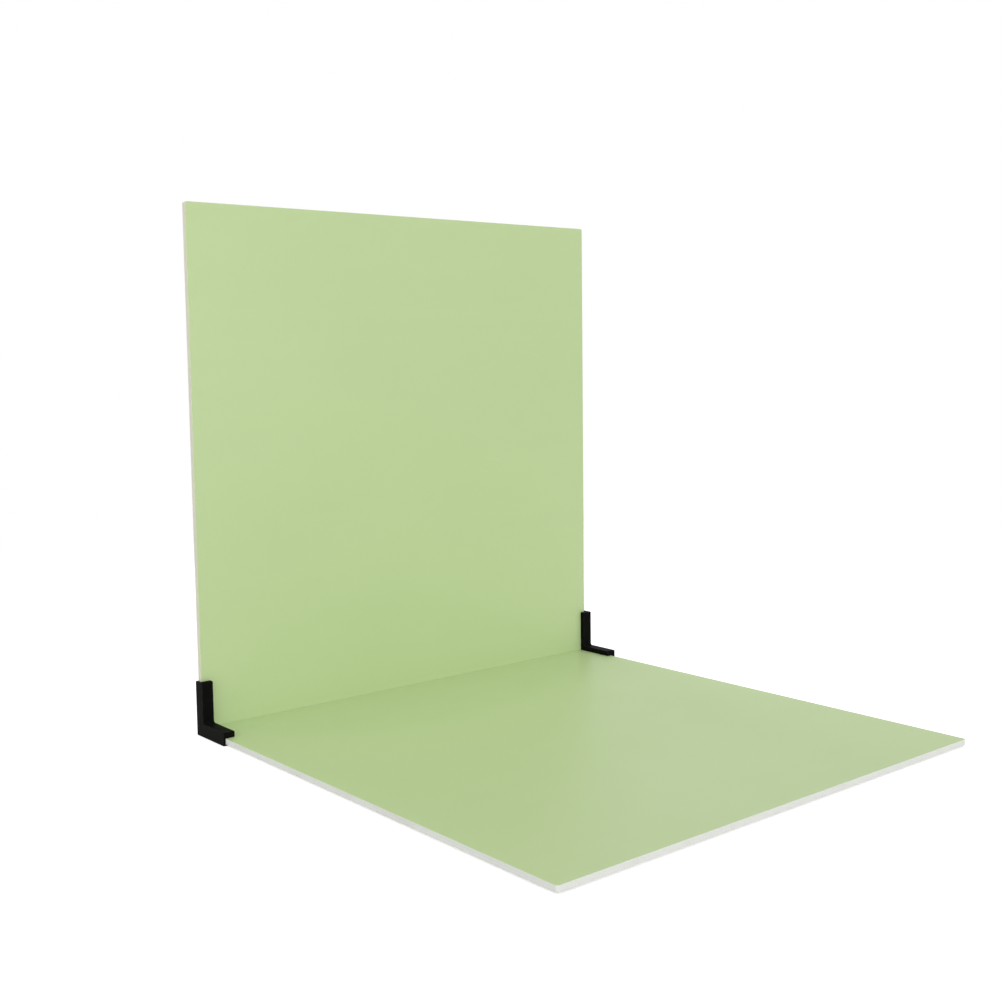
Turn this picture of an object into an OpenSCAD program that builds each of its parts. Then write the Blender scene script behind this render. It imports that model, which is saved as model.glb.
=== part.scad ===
// Two-board studio backdrop. A base board lies on the table, a back board stands behind it,
// and a moulded channel bracket at each rear corner grips both boards.
// Millimetres. +X runs along the seam, +Y to the back, +Z up.
// The origin is on the table, below the middle of the footprint.

/* [Boards] */
// Width of both boards, along the seam
board_w = 600; // [300:10:1000]
// Depth of the base board, front to back
base_d = 600; // [300:10:1000]
// Height of the back board
back_h = 600; // [300:10:1000]
// Thickness of the foamed core
core_t = 6; // [3:0.5:12]
// Thickness of the coloured film on the shown face
face_film_t = 0.2; // [0.1:0.05:0.6]
// Thickness of the plain film on the reverse
reverse_film_t = 0.2; // [0.1:0.05:0.6]
// Radius of the board corners
corner_r = 3; // [1:0.5:20]

/* [Brackets] */
// Overall length of each arm of the bracket
arm_l = 63; // [45:1:120]
// Depth of the channel, measured in from the board edge
slot_d = 11.5; // [6:0.5:25]
// Thickness of the closed side wall
wall_t = 2.5; // [1.6:0.1:5]
// Thickness of the flange on the coloured faces
flange_t = 6.5; // [3:0.1:8]
// Thickness of the lip behind and below the boards
lip_t = 2; // [1.6:0.1:4]
// Fillet in the inner corner of the two arms
bend_r = 2.5; // [1:0.1:6]
// Rounding of the outer edges along the arms
edge_r = 0.7; // [0.3:0.1:0.8]
// Rounding of the outer heel and of the arm ends
end_r = 1.2; // [0.4:0.1:1.4]
// Flare at the mouths of the channel
lead_in = 0.5; // [0.2:0.1:0.8]

/* [Fits] */
// Room between a board face and the flange over it
slide_gap = 0.3; // [0.1:0.05:0.6]
// Room between the board edges and the left side wall
left_seat = 0.2; // [0:0.1:6]
// Room between the board edges and the right side wall
right_seat = 4.3; // [0:0.1:6]

/* [Hidden] */
$fn = 48;

board_t = reverse_film_t + core_t + face_film_t;
slot_w = board_t + slide_gap;
arm_w = wall_t + slot_d;
arm_d = lip_t + slot_w + flange_t;
// The straight part of each arm starts where the inner fillet ends
corner_l = arm_d + bend_r;
// Front face of the back board, where the base board butts against it
seam_y = (base_d - board_t - lip_t) / 2;
heel_y = seam_y + board_t + lip_t;
base_mid_y = seam_y - base_d / 2;
back_mid_z = lip_t + back_h / 2;
// Blanks for the corner reach past the heel
blank_l = 2 * corner_l;
// Each arm turns through this angle before it meets the mitre
mitre_angle = 45;
// Cutting solids reach this far past what they cut
past = 1;

face_green = [0.71, 0.80, 0.58];
core_white = [0.90, 0.91, 0.87];
film_white = [0.94, 0.94, 0.93];
moulded_black = [0.07, 0.07, 0.07];

// Flat outline of a board, centred
module board_outline(w, h) {
    square([w - 2 * corner_r, h], center = true);
    square([w, h - 2 * corner_r], center = true);
    for (x = [-1, 1], y = [-1, 1])
        translate([x * (w / 2 - corner_r), y * (h / 2 - corner_r)])
            circle(corner_r);
}

// One layer of the base board, measured up from the board's underside
module base_layer(from, thick) {
    translate([0, base_mid_y, lip_t + from])
        linear_extrude(thick)
            board_outline(board_w, base_d);
}

// One layer of the back board, measured forward from the board's rear face
module back_layer(from, thick) {
    translate([0, seam_y + board_t - from, back_mid_z])
        rotate([90, 0, 0])
            linear_extrude(thick)
                board_outline(board_w, back_h);
}

// Bar section with rounded corners, from the origin
module rounded_bar(w, d, r) {
    translate([r, 0])
        square([w - 2 * r, d]);
    translate([0, r])
        square([w, d - 2 * r]);
    for (x = [r, w - r], y = [r, d - r])
        translate([x, y])
            circle(r);
}

// What a rounding of radius r takes off a square corner at the origin
module corner_waste(r) {
    difference() {
        translate([-past, -past])
            square(r + past);
        translate([r, r])
            circle(r);
    }
}

// Mouth of the channel: x along the way in, with the rim at `rim`, y across the channel
module flare(rim) {
    polygon([
        [rim - lead_in, lip_t],
        [rim, lip_t - lead_in],
        [rim + past, lip_t - lead_in],
        [rim + past, lip_t + slot_w + lead_in],
        [rim, lip_t + slot_w + lead_in],
        [rim - lead_in, lip_t + slot_w]
    ]);
}

// One arm, upright, with its half of the mitred corner.
// x runs from the side wall to the mouth, y forward from the heel, z up the arm.
module arm() {
    difference() {
        union() {
            translate([0, 0, corner_l])
                linear_extrude(arm_l - corner_l)
                    rounded_bar(arm_w, arm_d, edge_r);
            intersection() {
                bend_sector();
                linear_extrude(corner_l)
                    rounded_bar(arm_w, blank_l, edge_r);
            }
        }
        translate([0, 0, -past])
            linear_extrude(arm_l + 2 * past) {
                translate([wall_t, lip_t])
                    square([slot_d + past, slot_w]);
                flare(arm_w);
            }
        translate([arm_w + past, 0, 0])
            rotate([0, -90, 0])
                linear_extrude(slot_d + past)
                    flare(arm_l);
        across() {
            translate([0, arm_l])
                mirror([0, 1])
                    corner_waste(end_r);
            translate([arm_d, arm_l])
                rotate(180)
                    corner_waste(end_r);
        }
    }
}

// Sweeps a side view of the arm right across its width
module across() {
    translate([-past, 0, 0])
        rotate([90, 0, 90])
            linear_extrude(arm_w + 2 * past)
                children();
}

// Half of the bend, turned about the centre of the inner fillet and ending on the mitre
module bend_sector() {
    translate([0, corner_l, corner_l])
        rotate([90, 0, 90])
            rotate(180)
                rotate_extrude(angle = mitre_angle)
                    translate([bend_r, 0])
                        rotate(90)
                            mirror([0, 1])
                                rounded_bar(arm_w, blank_l, edge_r);
}

// Bracket with its outer heel at the origin: one arm and its mirror image in the mitre
module bracket() {
    difference() {
        union() {
            arm();
            mirror([0, 1, -1])
                arm();
        }
        across()
            corner_waste(end_r);
    }
}

// Bracket on the left rear corner, `seat` clear of the board edges
module placed_bracket(seat) {
    translate([-board_w / 2 - seat - wall_t, heel_y, 0])
        mirror([0, 1, 0])
            bracket();
}

module base_core() {
    color(core_white) base_layer(reverse_film_t, core_t);
}

module base_face_film() {
    color(face_green) base_layer(reverse_film_t + core_t, face_film_t);
}

module base_reverse_film() {
    color(film_white) base_layer(0, reverse_film_t);
}

module back_core() {
    color(core_white) back_layer(reverse_film_t, core_t);
}

module back_face_film() {
    color(face_green) back_layer(reverse_film_t + core_t, face_film_t);
}

module back_reverse_film() {
    color(film_white) back_layer(0, reverse_film_t);
}

module left_bracket() {
    color(moulded_black) placed_bracket(left_seat);
}

module right_bracket() {
    color(moulded_black) mirror([1, 0, 0]) placed_bracket(right_seat);
}

base_core();
base_face_film();
base_reverse_film();
back_core();
back_face_film();
back_reverse_film();
left_bracket();
right_bracket();
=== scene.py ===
import math

import bmesh
import bpy
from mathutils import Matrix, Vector


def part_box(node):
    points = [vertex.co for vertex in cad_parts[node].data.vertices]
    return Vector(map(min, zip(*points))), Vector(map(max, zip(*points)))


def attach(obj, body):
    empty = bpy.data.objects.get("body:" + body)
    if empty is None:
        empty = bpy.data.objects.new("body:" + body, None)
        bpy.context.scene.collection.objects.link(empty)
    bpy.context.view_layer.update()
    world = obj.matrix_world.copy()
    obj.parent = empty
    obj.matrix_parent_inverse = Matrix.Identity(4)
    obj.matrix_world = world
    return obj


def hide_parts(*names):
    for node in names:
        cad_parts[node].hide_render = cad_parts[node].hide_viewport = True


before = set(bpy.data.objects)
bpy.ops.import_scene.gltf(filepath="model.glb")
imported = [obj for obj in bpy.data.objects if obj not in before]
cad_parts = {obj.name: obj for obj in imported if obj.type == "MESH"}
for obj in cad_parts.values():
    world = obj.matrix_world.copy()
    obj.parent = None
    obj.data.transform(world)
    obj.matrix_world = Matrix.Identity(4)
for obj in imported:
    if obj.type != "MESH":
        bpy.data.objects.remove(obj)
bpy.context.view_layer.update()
mm = 0.001
aligned = 0.99  # cosine above which two directions count as the same
print("frame loaded:", ", ".join(sorted(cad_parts)))


# Selecting and shaping, as by hand

def deselectAll():
    if bpy.context.mode != "OBJECT":
        bpy.ops.object.mode_set(mode="OBJECT")
    bpy.ops.object.select_all(action="DESELECT")


def takeUp(piece):
    deselectAll()
    piece.select_set(True)
    bpy.context.view_layer.objects.active = piece


def addBlock(name, low, high):
    deselectAll()
    bpy.ops.mesh.primitive_cube_add(size=1, location=(low + high) / 2, scale=high - low)
    bpy.ops.object.transform_apply(location=True, rotation=True, scale=True)
    piece = bpy.context.object
    piece.name = name
    piece.data.name = name
    return piece


def openMesh(piece, kind):
    takeUp(piece)
    bpy.ops.object.mode_set(mode="EDIT")
    bpy.ops.mesh.select_mode(type=kind)
    bpy.ops.mesh.select_all(action="DESELECT")
    return bmesh.from_edit_mesh(piece.data)


def closeMesh():
    bpy.ops.object.mode_set(mode="OBJECT")


def pickEdges(piece, test):
    cage = openMesh(piece, "EDGE")
    for edge in cage.edges:
        edge.select_set(test(edge))
    cage.select_flush_mode()
    bmesh.update_edit_mesh(piece.data)


def pickFaces(piece, test):
    cage = openMesh(piece, "FACE")
    for face in cage.faces:
        face.select_set(test(face))
    cage.select_flush_mode()
    bmesh.update_edit_mesh(piece.data)


def roundPicked(radius, steps):
    bpy.ops.mesh.bevel(offset=radius * mm, segments=steps, affect="EDGES", clamp_overlap=True)


def edgeLine(edge):
    return (edge.verts[1].co - edge.verts[0].co).normalized()


def edgeMiddle(edge):
    return (edge.verts[0].co + edge.verts[1].co) / 2


def near(a, b, slack=0.02 * mm):
    return abs(a - b) < slack


def smoothPiece(piece, angle):
    takeUp(piece)
    bpy.ops.object.shade_smooth_by_angle(angle=math.radians(angle))
    weighted = piece.modifiers.new("flatFaces", "WEIGHTED_NORMAL")
    weighted.keep_sharp = True
    bpy.ops.object.modifier_apply(modifier=weighted.name)


# Shader sums and nodes

class Amount:
    def __init__(self, sheet, socket):
        self.sheet = sheet
        self.socket = socket

    def sum(self, operation, first, second):
        return self.sheet.node("ShaderNodeMath", {"operation": operation}, {0: first, 1: second})

    def __add__(self, other):
        return self.sum("ADD", self, other)

    def __radd__(self, other):
        return self.sum("ADD", other, self)

    def __sub__(self, other):
        return self.sum("SUBTRACT", self, other)

    def __rsub__(self, other):
        return self.sum("SUBTRACT", other, self)

    def __mul__(self, other):
        return self.sum("MULTIPLY", self, other)

    def __rmul__(self, other):
        return self.sum("MULTIPLY", other, self)

    def __truediv__(self, other):
        return self.sum("DIVIDE", self, other)

    def __pow__(self, other):
        return self.sum("POWER", self, other)

    def __abs__(self):
        return self.sum("ABSOLUTE", self, 0.0)

    def atLeast(self, other):
        return self.sum("MAXIMUM", self, other)

    def atMost(self, other):
        return self.sum("MINIMUM", self, other)


class NodeSheet:
    def __init__(self, tree):
        self.tree = tree

    def fill(self, node, sockets):
        for key, value in sockets.items():
            if isinstance(value, Amount):
                self.tree.links.new(value.socket, node.inputs[key])
            else:
                node.inputs[key].default_value = value

    def node(self, kind, settings=None, sockets=None, out=0):
        made = self.tree.nodes.new(kind)
        for key, value in (settings or {}).items():
            setattr(made, key, value)
        self.fill(made, sockets or {})
        return Amount(self, made.outputs[out]) if made.outputs else made

    def seenOrMirrored(self):
        seen = self.node("ShaderNodeLightPath", out="Is Camera Ray")
        mirrored = self.node("ShaderNodeLightPath", out="Is Glossy Ray")
        through = self.node("ShaderNodeLightPath", out="Is Transmission Ray")
        return seen.atLeast(mirrored).atLeast(through)


class Finish(NodeSheet):
    def __init__(self, name, specular=0.5):
        self.material = bpy.data.materials.new(name)
        self.material.use_nodes = True
        super().__init__(self.material.node_tree)
        self.tree.nodes.clear()
        self.shader = self.tree.nodes.new("ShaderNodeBsdfPrincipled")
        self.shader.inputs["Specular IOR Level"].default_value = specular
        self.end = self.tree.nodes.new("ShaderNodeOutputMaterial")
        self.tree.links.new(self.shader.outputs[0], self.end.inputs["Surface"])

    def shade(self, colour, roughness, normal=None):
        sockets = {"Base Color": colour, "Roughness": roughness}
        if normal is not None:
            sockets["Normal"] = normal
        self.fill(self.shader, sockets)

    def place(self, middle=(0, 0, 0), turn=(0, 0, 0)):
        spot = self.node("ShaderNodeTexCoord", out="Object")
        moved = self.node("ShaderNodeVectorMath", {"operation": "SUBTRACT"}, {0: spot, 1: middle})
        return self.node("ShaderNodeMapping", None, {"Vector": moved, "Rotation": turn})

    def stretch(self, vector, scale, turn=0):
        around = (0, 0, math.radians(turn))
        turned = self.node("ShaderNodeMapping", None, {"Vector": vector, "Rotation": around})
        return self.node("ShaderNodeMapping", None, {"Vector": turned, "Scale": scale})

    def axes(self, vector):
        return [self.node("ShaderNodeSeparateXYZ", None, {0: vector}, out=i) for i in range(3)]

    def vector(self, x, y, z):
        return self.node("ShaderNodeCombineXYZ", None, {0: x, 1: y, 2: z})

    def noise(self, vector, scale=1.0, detail=2.0):
        sockets = {"Vector": vector, "Scale": scale, "Detail": detail}
        return self.node("ShaderNodeTexNoise", None, sockets)

    def sway(self, vector, scale=1.0, detail=2.0):
        return self.noise(vector, scale, detail) - 0.5  # swings about nought

    def cells(self, vector, scale):
        return self.node("ShaderNodeTexVoronoi", None, {"Vector": vector, "Scale": scale})

    def fade(self, amount, low, high, start=0.0, end=1.0):
        sockets = {0: amount, 1: low, 2: high, 3: start, 4: end}
        return self.node("ShaderNodeMapRange", {"interpolation_type": "SMOOTHSTEP"}, sockets)

    def blend(self, share, first, second):
        settings = {"data_type": "RGBA", "clamp_factor": True}
        return self.node("ShaderNodeMix", settings, {0: share, 6: first, 7: second}, out=2)

    def bump(self, height, depth, under=None):
        sockets = {"Height": height, "Distance": depth * mm, "Strength": 1.0}
        if under is not None:
            sockets["Normal"] = under
        return self.node("ShaderNodeBump", None, sockets)

    def glow(self, strength):
        sockets = {"Color": (1, 1, 1, 1), "Strength": strength}
        return self.node("ShaderNodeEmission", None, sockets)

    def mixShaders(self, share, first, second):
        return self.node("ShaderNodeMixShader", None, {0: share, 1: first, 2: second})


def paint(red, green, blue):
    # screen values up to 255, made linear
    channels = [c / 255 for c in (red, green, blue)]
    linear = [c / 12.92 if c <= 0.04045 else ((c + 0.055) / 1.055) ** 2.4 for c in channels]
    return (*linear, 1.0)


def tone(colour, share):
    return (*[c * share for c in colour[:3]], 1.0)


def dress(piece, material):
    piece.data.materials.clear()
    piece.data.materials.append(material)


# Camera

cameraSet = {
    "place": (-0.9798, -1.0552, 0.4282),
    "turn": (84.595, 0.700, -39.906),
    "lens": 47.42,
    "sensor": 36.0,
    "shiftUp": -0.02,
    "farEnd": 100.0,
}


def addCamera(spec):
    deselectAll()
    turn = [math.radians(angle) for angle in spec["turn"]]
    bpy.ops.object.camera_add(location=spec["place"], rotation=turn)
    camera = bpy.context.object
    camera.data.lens = spec["lens"]
    camera.data.sensor_width = spec["sensor"]
    camera.data.shift_y = spec["shiftUp"]
    camera.data.clip_end = spec["farEnd"]
    bpy.context.scene.camera = camera


addCamera(cameraSet)
print("camera set")


# Boards: each is a foamed core with a film on both faces. Lengths are in millimetres.

boardSet = {
    "thick": 6.4,  # the core and both films
    "cornerRadius": 3.0,
    "cornerSteps": 8,
    "filmEase": 0.07,  # softened edge of a film
    "coreEase": 0.12,
    "easeSteps": 2,
    "border": 1.4,  # ring of faces inside the outline, less than the corner radius
    "smoothAngle": 40,
}

# across is the axis through the board. The boards meet at the seam end, seamIn from its edge.
boardSides = {
    "base": {
        "body": "base_board",
        "across": 2,
        "turn": (0, 0, 0),
        "seam": 1.0,
        "seamIn": 0.0,
        # painted light: a lighter, cooler copy of the core colour, for the cool light on the base
        # board's edges
        "coreColourAsLit": paint(233, 235, 229),
    },
    "back": {
        "body": "back_board",
        "across": 1,
        "turn": (-math.pi / 2, 0, 0),
        "seam": -1.0,
        "seamIn": boardSet["thick"],
        "coreColourAsLit": paint(228, 225, 205),  # painted shade: a warmer, darker copy of the same core colour, for the back board's edge in shade and warm bounce light
    },
}

boardLayers = [
    {"name": "Core", "node": "core", "ease": "coreEase", "slot": "foam_core"},
    {"name": "FaceFilm", "node": "face_film", "ease": "filmEase", "slot": "face_film"},
    {"name": "ReverseFilm", "node": "reverse_film", "ease": "filmEase", "slot": "reverse_film"},
]


def boardLayer(name, node, across, ease):
    low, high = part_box(node)
    piece = addBlock(name, low, high)
    through = Vector([float(i == across) for i in range(3)])

    def bigFace(face):
        return abs(face.normal.dot(through)) > aligned

    def cornerEdge(edge):
        return abs(edgeLine(edge).dot(through)) > aligned

    def rimEdge(edge):
        return sum(bigFace(face) for face in edge.link_faces) == 1

    pickEdges(piece, cornerEdge)
    roundPicked(boardSet["cornerRadius"], boardSet["cornerSteps"])
    closeMesh()
    pickEdges(piece, rimEdge)
    roundPicked(ease, boardSet["easeSteps"])
    closeMesh()
    pickFaces(piece, bigFace)
    bpy.ops.mesh.inset(thickness=boardSet["border"] * mm, depth=0)
    closeMesh()
    smoothPiece(piece, boardSet["smoothAngle"])
    return piece


boardPieces = {}
for side, spec in boardSides.items():
    for layer in boardLayers:
        node = side + "_" + layer["node"]
        piece = boardLayer(side + layer["name"], node, spec["across"], boardSet[layer["ease"]])
        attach(piece, spec["body"])
        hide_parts(node)
        boardPieces[node] = piece
print("boards made:", ", ".join(piece.name for piece in boardPieces.values()))


# Brackets: an L of channel, closed on the outer side

bracketSet = {
    "wall": 2.5,
    "lip": 2.0,
    "slot": 6.7,
    "flange": 6.5,
    "bendRadius": 2.5,
    "bendSteps": 8,
    "endRadius": 1.2,
    "endSteps": 6,
    "edgeRadius": 0.6,
    "edgeSteps": 3,
    "sharpAngle": 40,  # edges sharper than this are rounded
    "smoothAngle": 35,
    "past": 4.0,  # the cutter runs out this far
}


def armL(name, low, high, depth):
    # upright block, then its lower front is drawn forward
    front = high.y - depth
    piece = addBlock(name, Vector((low.x, front, low.z)), high)
    openMesh(piece, "FACE")
    bpy.ops.mesh.select_all(action="SELECT")
    bpy.ops.mesh.bisect(plane_co=(0, 0, low.z + depth), plane_no=(0, 0, 1))
    closeMesh()

    def lowerFront(face):
        return face.normal.y < -aligned and face.calc_center_median().z < low.z + depth

    pickFaces(piece, lowerFront)
    bpy.ops.mesh.extrude_region_move(TRANSFORM_OT_translate={"value": (0, low.y - front, 0)})
    closeMesh()
    return piece


def cutSlot(piece, cutter):
    takeUp(piece)
    cut = piece.modifiers.new("slot", "BOOLEAN")
    cut.operation = "DIFFERENCE"
    cut.solver = "EXACT"
    cut.object = cutter
    bpy.ops.object.modifier_apply(modifier=cut.name)
    bpy.data.objects.remove(cutter)


# marks the rounded edge faces, which are lightened partly as wear and partly as a painted
# highlight
def markWearAndSheen(piece):
    # the faces of the last rounding are still selected
    cage = bmesh.from_edit_mesh(piece.data)
    wearAndSheen = cage.faces.layers.float.new("edgeWearAndSheen")
    for face in cage.faces:
        face[wearAndSheen] = float(face.select)
    bmesh.update_edit_mesh(piece.data)


def makeBracket(name, spec):
    low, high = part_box("left_bracket")
    depth = (spec["lip"] + spec["slot"] + spec["flange"]) * mm
    front = high.y - depth
    piece = armL(name, low, high, depth)
    heelAndEnds = [
        (high.y, low.z),
        (high.y, high.z),
        (front, high.z),
        (low.y, low.z),
        (low.y, depth),
    ]

    def crosswiseAt(edge, y, z):
        middle = edgeMiddle(edge)
        return abs(edgeLine(edge).x) > aligned and near(middle.y, y) and near(middle.z, z)

    def innerCorner(edge):
        return crosswiseAt(edge, front, depth)

    def heelOrEnd(edge):
        return any(crosswiseAt(edge, y, z) for y, z in heelAndEnds)

    def sharpOutside(edge):
        return edge.is_convex and edge.calc_face_angle() > math.radians(spec["sharpAngle"])

    pickEdges(piece, innerCorner)
    roundPicked(spec["bendRadius"], spec["bendSteps"])
    closeMesh()
    pickEdges(piece, heelOrEnd)
    roundPicked(spec["endRadius"], spec["endSteps"])
    closeMesh()

    wall, lip, past = (spec[key] * mm for key in ("wall", "lip", "past"))
    slotLow = Vector((low.x + wall, low.y - past, low.z + lip))
    slotHigh = Vector((high.x + past, high.y - lip, high.z + past))
    cutSlot(piece, armL("slotCutter", slotLow, slotHigh, spec["slot"] * mm))

    pickEdges(piece, sharpOutside)
    roundPicked(spec["edgeRadius"], spec["edgeSteps"])
    markWearAndSheen(piece)
    closeMesh()
    smoothPiece(piece, spec["smoothAngle"])
    return piece


def mirrorBracket(source, name, spec):
    takeUp(source)
    bpy.ops.object.duplicate(linked=False)
    piece = bpy.context.object
    piece.name = name
    piece.data.name = name
    openMesh(piece, "FACE")
    bpy.ops.mesh.select_all(action="SELECT")
    bpy.ops.transform.mirror(constraint_axis=(True, False, False), center_override=(0, 0, 0))
    bpy.ops.mesh.normals_make_consistent(inside=False)
    outside = max(vertex.co.x for vertex in bmesh.from_edit_mesh(piece.data).verts)
    bpy.ops.transform.translate(value=(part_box("right_bracket")[1].x - outside, 0, 0))
    closeMesh()
    smoothPiece(piece, spec["smoothAngle"])
    return piece


leftBracket = makeBracket("leftBracket", bracketSet)
rightBracket = mirrorBracket(leftBracket, "rightBracket", bracketSet)
brackets = {"left_bracket": leftBracket, "right_bracket": rightBracket}
for node, piece in brackets.items():
    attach(piece, node)
    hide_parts(node)
print("brackets made:", len(leftBracket.data.polygons), "faces each")


# Satin film, coloured on the shown faces and plain on the reverse

faceFilmSet = {
    "colour": paint(193, 214, 157),
    "edgeColour": paint(226, 232, 210),  # paled along the cut
    "seamShadeColour": paint(126, 146, 96),  # painted shade: a darker line along the crease where the boards meet
    "roughness": 0.44,
    "clouds": 0.030,
    "speckle": 0.06,
    "scuffs": 0.5,
}

reverseFilmSet = {
    "colour": paint(232, 232, 229),
    "edgeColour": paint(214, 213, 208),
    "roughness": 0.52,
    "clouds": 0.045,
    "speckle": 0.03,
    "scuffs": 0.9,
}

# What both films share. Bands in millimetres count in from the edge or from the seam.
filmSet = {
    "cloudScale": 3.2,
    "cloudShare": 0.9,
    "rollStretch": (1.2, 26.0, 1.0),  # streaks lengthways in the roll
    "rollShare": 0.4,
    "speckleScale": 1300.0,
    "speckleBand": (-0.15, 0.15),
    "speckleRough": 0.06,
    "speckleHeight": 0.3,
    "ragScale": 240.0,  # the paled line is ragged
    "ragDepth": 0.9,
    "paledBand": (0.1, 0.7),
    "paledShare": 0.55,
    "handledBand": (4.0, 70.0),
    "handledLeast": 0.25,
    "seamShadeBand": (0.2, 1.6),
    "seamShadeShare": 0.16,
    "smudgeScale": 8.0,
    "smudgeRough": 0.16,
    "waveScale": 3.4,
    "waveDepth": 1.6,
    "peelScale": 420.0,
    "peelDepth": 0.03,
}

# Hairline scuffs, in patches
scuffSet = {
    "turns": (14, 71, -38),
    "stretch": (2.5, 150.0, 1.0),
    "halfWidth": 0.007,
    "patchScale": 11.0,
    "patchBand": (0.56, 0.70),
    "share": 0.12,
    "rough": 0.10,
    "height": 0.4,
}

# Where a bracket slides on and off
rubSet = {
    "width": 11.5,
    "length": 60.0,
    "soft": 1.5,
    "stretch": (18.0, 900.0, 1.0),
    "lineBand": (0.42, 0.62),
    "share": 0.10,
    "smooth": 0.10,
}


def edgeDistance(u, v, half):
    # millimetres in from the rounded outline
    radius = boardSet["cornerRadius"] * mm
    overU = (abs(u) - (half[0] - radius)).atLeast(0.0)
    overV = (abs(v) - (half[1] - radius)).atLeast(0.0)
    return (radius - (overU * overU + overV * overV) ** 0.5) / mm


def hairlines(finish, spot, spec):
    marks = 0.0
    for turn in spec["turns"]:
        ridge = finish.sway(finish.stretch(spot, spec["stretch"], turn), detail=1.0)
        marks = finish.fade(abs(ridge), 0.0, spec["halfWidth"], 1.0, 0.0) + marks
    patches = finish.fade(finish.noise(spot, spec["patchScale"]), *spec["patchBand"])
    return marks.atMost(1.0) * patches


def bracketRub(finish, spot, half, seam, spec):
    u, v = finish.axes(spot)[:2]
    width, length, soft = (spec[key] * mm for key in ("width", "length", "soft"))
    alongEdge = finish.fade(abs(u), half[0] - width - soft, half[0] - width)
    nearSeam = finish.fade(v * seam, half[1] - length - soft, half[1] - length)
    lines = finish.noise(finish.stretch(spot, spec["stretch"]))
    return alongEdge * nearSeam * finish.fade(lines, *spec["lineBand"])


def boardFilm(name, spec, node, side):
    low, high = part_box(node)
    flat = [i for i in range(3) if i != side["across"]]
    half = [(high[i] - low[i]) / 2 for i in flat]
    finish = Finish(name)
    spot = finish.place((low + high) / 2, side["turn"])
    u, v = finish.axes(spot)[:2]

    # the film as printed
    clouds = finish.sway(spot, filmSet["cloudScale"], detail=3.0)
    roll = finish.sway(finish.stretch(spot, filmSet["rollStretch"]), detail=3.0)
    speckle = finish.sway(spot, filmSet["speckleScale"], detail=1.0)
    shade = 0.5 + clouds * filmSet["cloudShare"] + roll * filmSet["rollShare"]
    darker, lighter = (tone(spec["colour"], 1 + sign * spec["clouds"]) for sign in (-1, 1))
    colour = finish.blend(shade, darker, lighter)
    dots = finish.fade(speckle, *filmSet["speckleBand"])
    colour = finish.blend(dots * spec["speckle"], colour, spec["edgeColour"])

    # cut edges, handling, rubbing, and painted shade along the seam
    inFromEdge = edgeDistance(u, v, half)
    ragged = inFromEdge + finish.sway(spot, filmSet["ragScale"]) * filmSet["ragDepth"]
    paled = finish.fade(ragged, *filmSet["paledBand"], filmSet["paledShare"], 0.0)
    handled = finish.fade(inFromEdge, *filmSet["handledBand"], 1.0, filmSet["handledLeast"])
    scuffs = hairlines(finish, spot, scuffSet) * handled * spec["scuffs"]
    rub = bracketRub(finish, spot, half, side["seam"], rubSet)
    marks = paled + scuffs * scuffSet["share"] + rub * rubSet["share"]
    colour = finish.blend(marks.atMost(1.0), colour, spec["edgeColour"])
    if "seamShadeColour" in spec:
        # painted shade: a thin band along the seam is darkened, where shade falls in the crease
        # between the boards
        fromSeam = (half[1] - side["seamIn"] * mm - v * side["seam"]) / mm
        dustAndShade = finish.fade(abs(fromSeam), *filmSet["seamShadeBand"], filmSet["seamShadeShare"], 0.0)
        colour = finish.blend(dustAndShade, colour, spec["seamShadeColour"])

    smudges = finish.sway(spot, filmSet["smudgeScale"], detail=4.0) * handled
    roughness = spec["roughness"] + smudges * filmSet["smudgeRough"]
    roughness = roughness + speckle * filmSet["speckleRough"]
    roughness = roughness + scuffs * scuffSet["rough"] - rub * rubSet["smooth"]
    waves = finish.bump(finish.noise(spot, filmSet["waveScale"], detail=1.0), filmSet["waveDepth"])
    peel = finish.noise(spot, filmSet["peelScale"]) + speckle * filmSet["speckleHeight"]
    peel = peel - scuffs * scuffSet["height"]
    finish.shade(colour, roughness, finish.bump(peel, filmSet["peelDepth"], waves))
    return finish.material


for side, spec in boardSides.items():
    for layer, film in (("_face_film", faceFilmSet), ("_reverse_film", reverseFilmSet)):
        piece = boardPieces[side + layer]
        dress(piece, boardFilm(piece.name + "Finish", film, side + layer, spec))
print("films dressed")


# Foamed core, seen along the cut edges

coreSet = {
    "roughness": 0.62,
    "specular": 0.3,
    "skin": 1.1,  # denser foam next to each film
    "skinFull": 0.2,
    "skinShut": 0.8,
    "skinSmooth": 0.12,
    # painted shade: the pores are darkened where shade falls in them
    "poreShadeColour": paint(198, 199, 191),
    "poreSize": 0.55,
    "poreBand": (0.12, 0.42),
    "poreShadeShare": 0.7,
    "poreRough": 0.15,
    "poreDepth": 0.12,
    "patchScale": 600.0,  # the pores come in patches
    "patchBand": (0.42, 0.60),
    "sawPitch": 0.8,
    "sawSlant": 90.0,
    "sawShare": 0.12,
    "sawRough": 0.14,
    "sawDepth": 0.05,
    "grimeColour": paint(217, 217, 207),
    "grimeScale": 16.0,
    "grimeBand": (0.48, 0.72),
    "grimeShare": 0.45,
}


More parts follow.
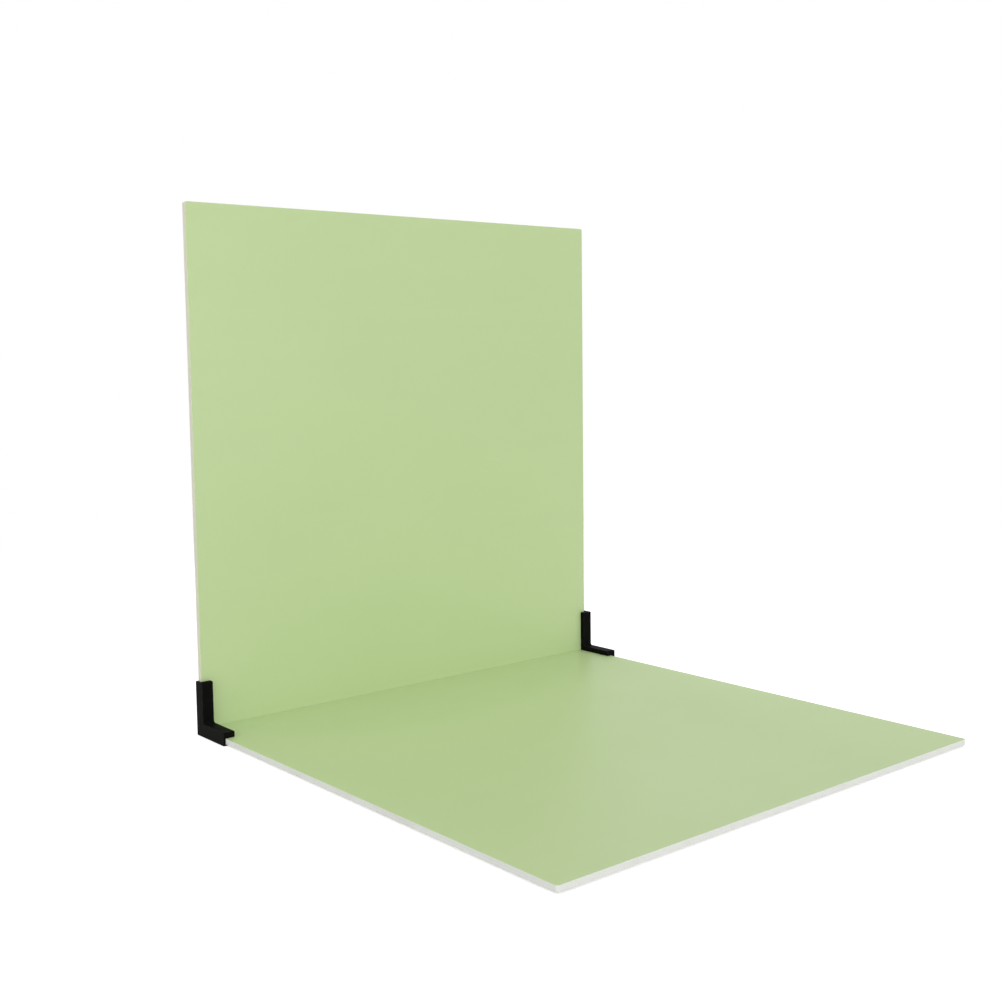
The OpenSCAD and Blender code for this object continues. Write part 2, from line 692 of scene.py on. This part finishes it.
def foamCore(name, spec, node, side):
    low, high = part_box(node)
    across = side["across"]
    halfThick = (high[across] - low[across]) / 2
    finish = Finish(name, specular=spec["specular"])
    spot = finish.place((low + high) / 2, side["turn"])
    u, v, w = finish.axes(spot)

    skinFrom, skinTo = (halfThick - spec[key] * mm for key in ("skin", "skinFull"))
    skin = finish.fade(abs(w), skinFrom, skinTo)
    bubbles = finish.cells(spot, 1 / (spec["poreSize"] * mm))
    patches = finish.fade(finish.noise(spot, spec["patchScale"], detail=1.0), *spec["patchBand"])
    pores = finish.fade(bubbles, *spec["poreBand"], 1.0, 0.0) * patches
    pores = pores * (1 - spec["skinShut"] * skin)
    alongCut = (u + v) / (spec["sawPitch"] * mm)
    saw = finish.sway(finish.vector(alongCut, w * spec["sawSlant"], 0.0))
    grime = finish.fade(finish.noise(spot, spec["grimeScale"], detail=4.0), *spec["grimeBand"])

    soiled = grime * spec["grimeShare"] + saw * spec["sawShare"]
    # the two boards' cores differ in colour only as painted light and shade
    colour = finish.blend(soiled, side["coreColourAsLit"], spec["grimeColour"])
    # painted shade in the pores
    colour = finish.blend(pores * spec["poreShadeShare"], colour, spec["poreShadeColour"])
    roughness = spec["roughness"] + pores * spec["poreRough"] - skin * spec["skinSmooth"]
    roughness = roughness + saw * spec["sawRough"]
    cutMarks = finish.bump(saw, spec["sawDepth"])
    finish.shade(colour, roughness, finish.bump(1 - pores, spec["poreDepth"], cutMarks))
    return finish.material


for side, spec in boardSides.items():
    piece = boardPieces[side + "_core"]
    dress(piece, foamCore(piece.name + "Finish", coreSet, side + "_core", spec))
print("cores dressed")


# Black moulded plastic

plasticSet = {
    "colour": paint(15, 15, 14),
    "roughness": 0.48,
    "specular": 0.012,
    "sparkScale": 3600.0,  # grain of the mould
    "sparkShare": 0.5,
    "sparkRough": 0.12,
    "sparkDepth": 0.03,
    "flowScale": 160.0,
    "flowStretch": (1.0, 0.35, 0.35),
    "flowTones": (0.8, 1.25),
    "flowRough": 0.14,
    "sinkScale": 45.0,
    "sinkDepth": 0.12,
    # partly wear, partly a painted highlight on the rounded edges
    "wornAndSheenColour": paint(58, 58, 56),
    "wornAndSheenScale": 120.0,
    "wornAndSheenBand": (0.30, 0.75),
    "wornAndSheenShare": 0.45,
    "wornSmooth": 0.10,
    "dustColour": paint(120, 118, 110),
    "dustScale": 330.0,
    "dustBand": (0.05, 0.11),
    "dustPatchScale": 70.0,
    "dustPatchBand": (0.50, 0.62),
    "dustShare": 0.35,
    "dustRough": 0.2,
}


def mouldedPlastic(name, spec, node):
    low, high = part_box(node)
    finish = Finish(name, specular=spec["specular"])
    spot = finish.place((low + high) / 2)

    spark = finish.sway(spot, spec["sparkScale"])
    flow = finish.noise(finish.stretch(spot, spec["flowStretch"]), spec["flowScale"], detail=3.0)
    wearAndSheen = finish.node("ShaderNodeAttribute", {"attribute_name": "edgeWearAndSheen"}, out="Fac")
    wornAndSheen = wearAndSheen * finish.fade(finish.noise(spot, spec["wornAndSheenScale"], detail=5.0), *spec["wornAndSheenBand"])
    specks = finish.fade(finish.cells(spot, spec["dustScale"]), *spec["dustBand"], 1.0, 0.0)
    patches = finish.fade(finish.noise(spot, spec["dustPatchScale"]), *spec["dustPatchBand"])
    dustAndShade = specks * patches

    darker, lighter = (tone(spec["colour"], share) for share in spec["flowTones"])
    colour = finish.blend(flow, darker, lighter)
    colour = finish.blend(spark * spec["sparkShare"], colour, spec["wornAndSheenColour"])
    # the rounded edges are lightened in patches: partly wear, partly a painted highlight
    colour = finish.blend(wornAndSheen * spec["wornAndSheenShare"], colour, spec["wornAndSheenColour"])
    colour = finish.blend(dustAndShade * spec["dustShare"], colour, spec["dustColour"])
    roughness = spec["roughness"] + spark * spec["sparkRough"] + (flow - 0.5) * spec["flowRough"]
    roughness = roughness - wornAndSheen * spec["wornSmooth"] + dustAndShade * spec["dustRough"]
    sink = finish.bump(finish.noise(spot, spec["sinkScale"], detail=1.0), spec["sinkDepth"])
    finish.shade(colour, roughness, finish.bump(spark, spec["sparkDepth"], sink))
    return finish.material


for node, piece in brackets.items():
    dress(piece, mouldedPlastic(piece.name + "Finish", plasticSet, node))
print("brackets dressed")


# Stage and light

stageSet = {
    "floorSize": 30.0,
    "floorDrop": 0.05,  # millimetres, clear of the feet
    "floorWhite": 0.86,
    "floorLift": 0.58,  # only where the floor is seen or mirrored
    "plainFrom": 1.1,  # beyond this the floor fades to plain white
    "plainTo": 2.0,
    "skyWhite": 1.0,
    "skyLight": 0.44,
}

lampSet = [
    {"name": "frontBox", "place": (0, -6.0, 1.0), "size": 2.2, "power": 114.0},
    {"name": "topBox", "place": (0, -0.3, 6.0), "size": 4.5, "power": 91.0},
    {"name": "leftBox", "place": (-3.4, -0.6, 1.4), "size": 2.0, "power": 30.0},
    {"name": "rearBox", "place": (0.3, 4.0, 1.6), "size": 2.0, "power": 40.0},
]

lampAim = Vector((0, 0, 0.2))


def addFloor(spec):
    deselectAll()
    below = (0, 0, -spec["floorDrop"] * mm)
    bpy.ops.mesh.primitive_plane_add(size=spec["floorSize"], location=below)
    floor = bpy.context.object
    floor.name = "paleFloor"
    finish = Finish("paleFloorFinish", specular=0.0)
    finish.shade((*[spec["floorWhite"]] * 3, 1.0), 1.0)
    lit = Amount(finish, finish.shader.outputs[0])
    lifted = finish.node("ShaderNodeAddShader", None, {0: lit, 1: finish.glow(spec["floorLift"])})
    x, y = finish.axes(finish.place())[:2]
    away = finish.fade((x * x + y * y) ** 0.5, spec["plainFrom"], spec["plainTo"])
    backdrop = finish.mixShaders(away, lifted, finish.glow(spec["skyWhite"]))
    shown = finish.mixShaders(finish.seenOrMirrored(), lit, backdrop)
    finish.fill(finish.end, {"Surface": shown})
    dress(floor, finish.material)


def addSky(spec):
    world = bpy.data.worlds.new("studioSky")
    world.use_nodes = True
    world.node_tree.nodes.clear()
    sheet = NodeSheet(world.node_tree)
    whiter = spec["skyWhite"] - spec["skyLight"]
    strength = spec["skyLight"] + sheet.seenOrMirrored() * whiter
    sockets = {"Color": (1, 1, 1, 1), "Strength": strength}
    sky = sheet.node("ShaderNodeBackground", None, sockets)
    sheet.node("ShaderNodeOutputWorld", None, {"Surface": sky})
    bpy.context.scene.world = world


def addLamp(spec):
    deselectAll()
    place = Vector(spec["place"])
    turn = (lampAim - place).to_track_quat("-Z", "Y").to_euler()
    bpy.ops.object.light_add(type="AREA", location=place, rotation=turn)
    lamp = bpy.context.object
    lamp.name = spec["name"]
    lamp.data.shape = "SQUARE"
    lamp.data.size = spec["size"]
    lamp.data.energy = spec["power"]


addFloor(stageSet)
addSky(stageSet)
for spec in lampSet:
    addLamp(spec)
bpy.context.scene.view_settings.view_transform = "Standard"
print("stage and light set")


deselectAll()
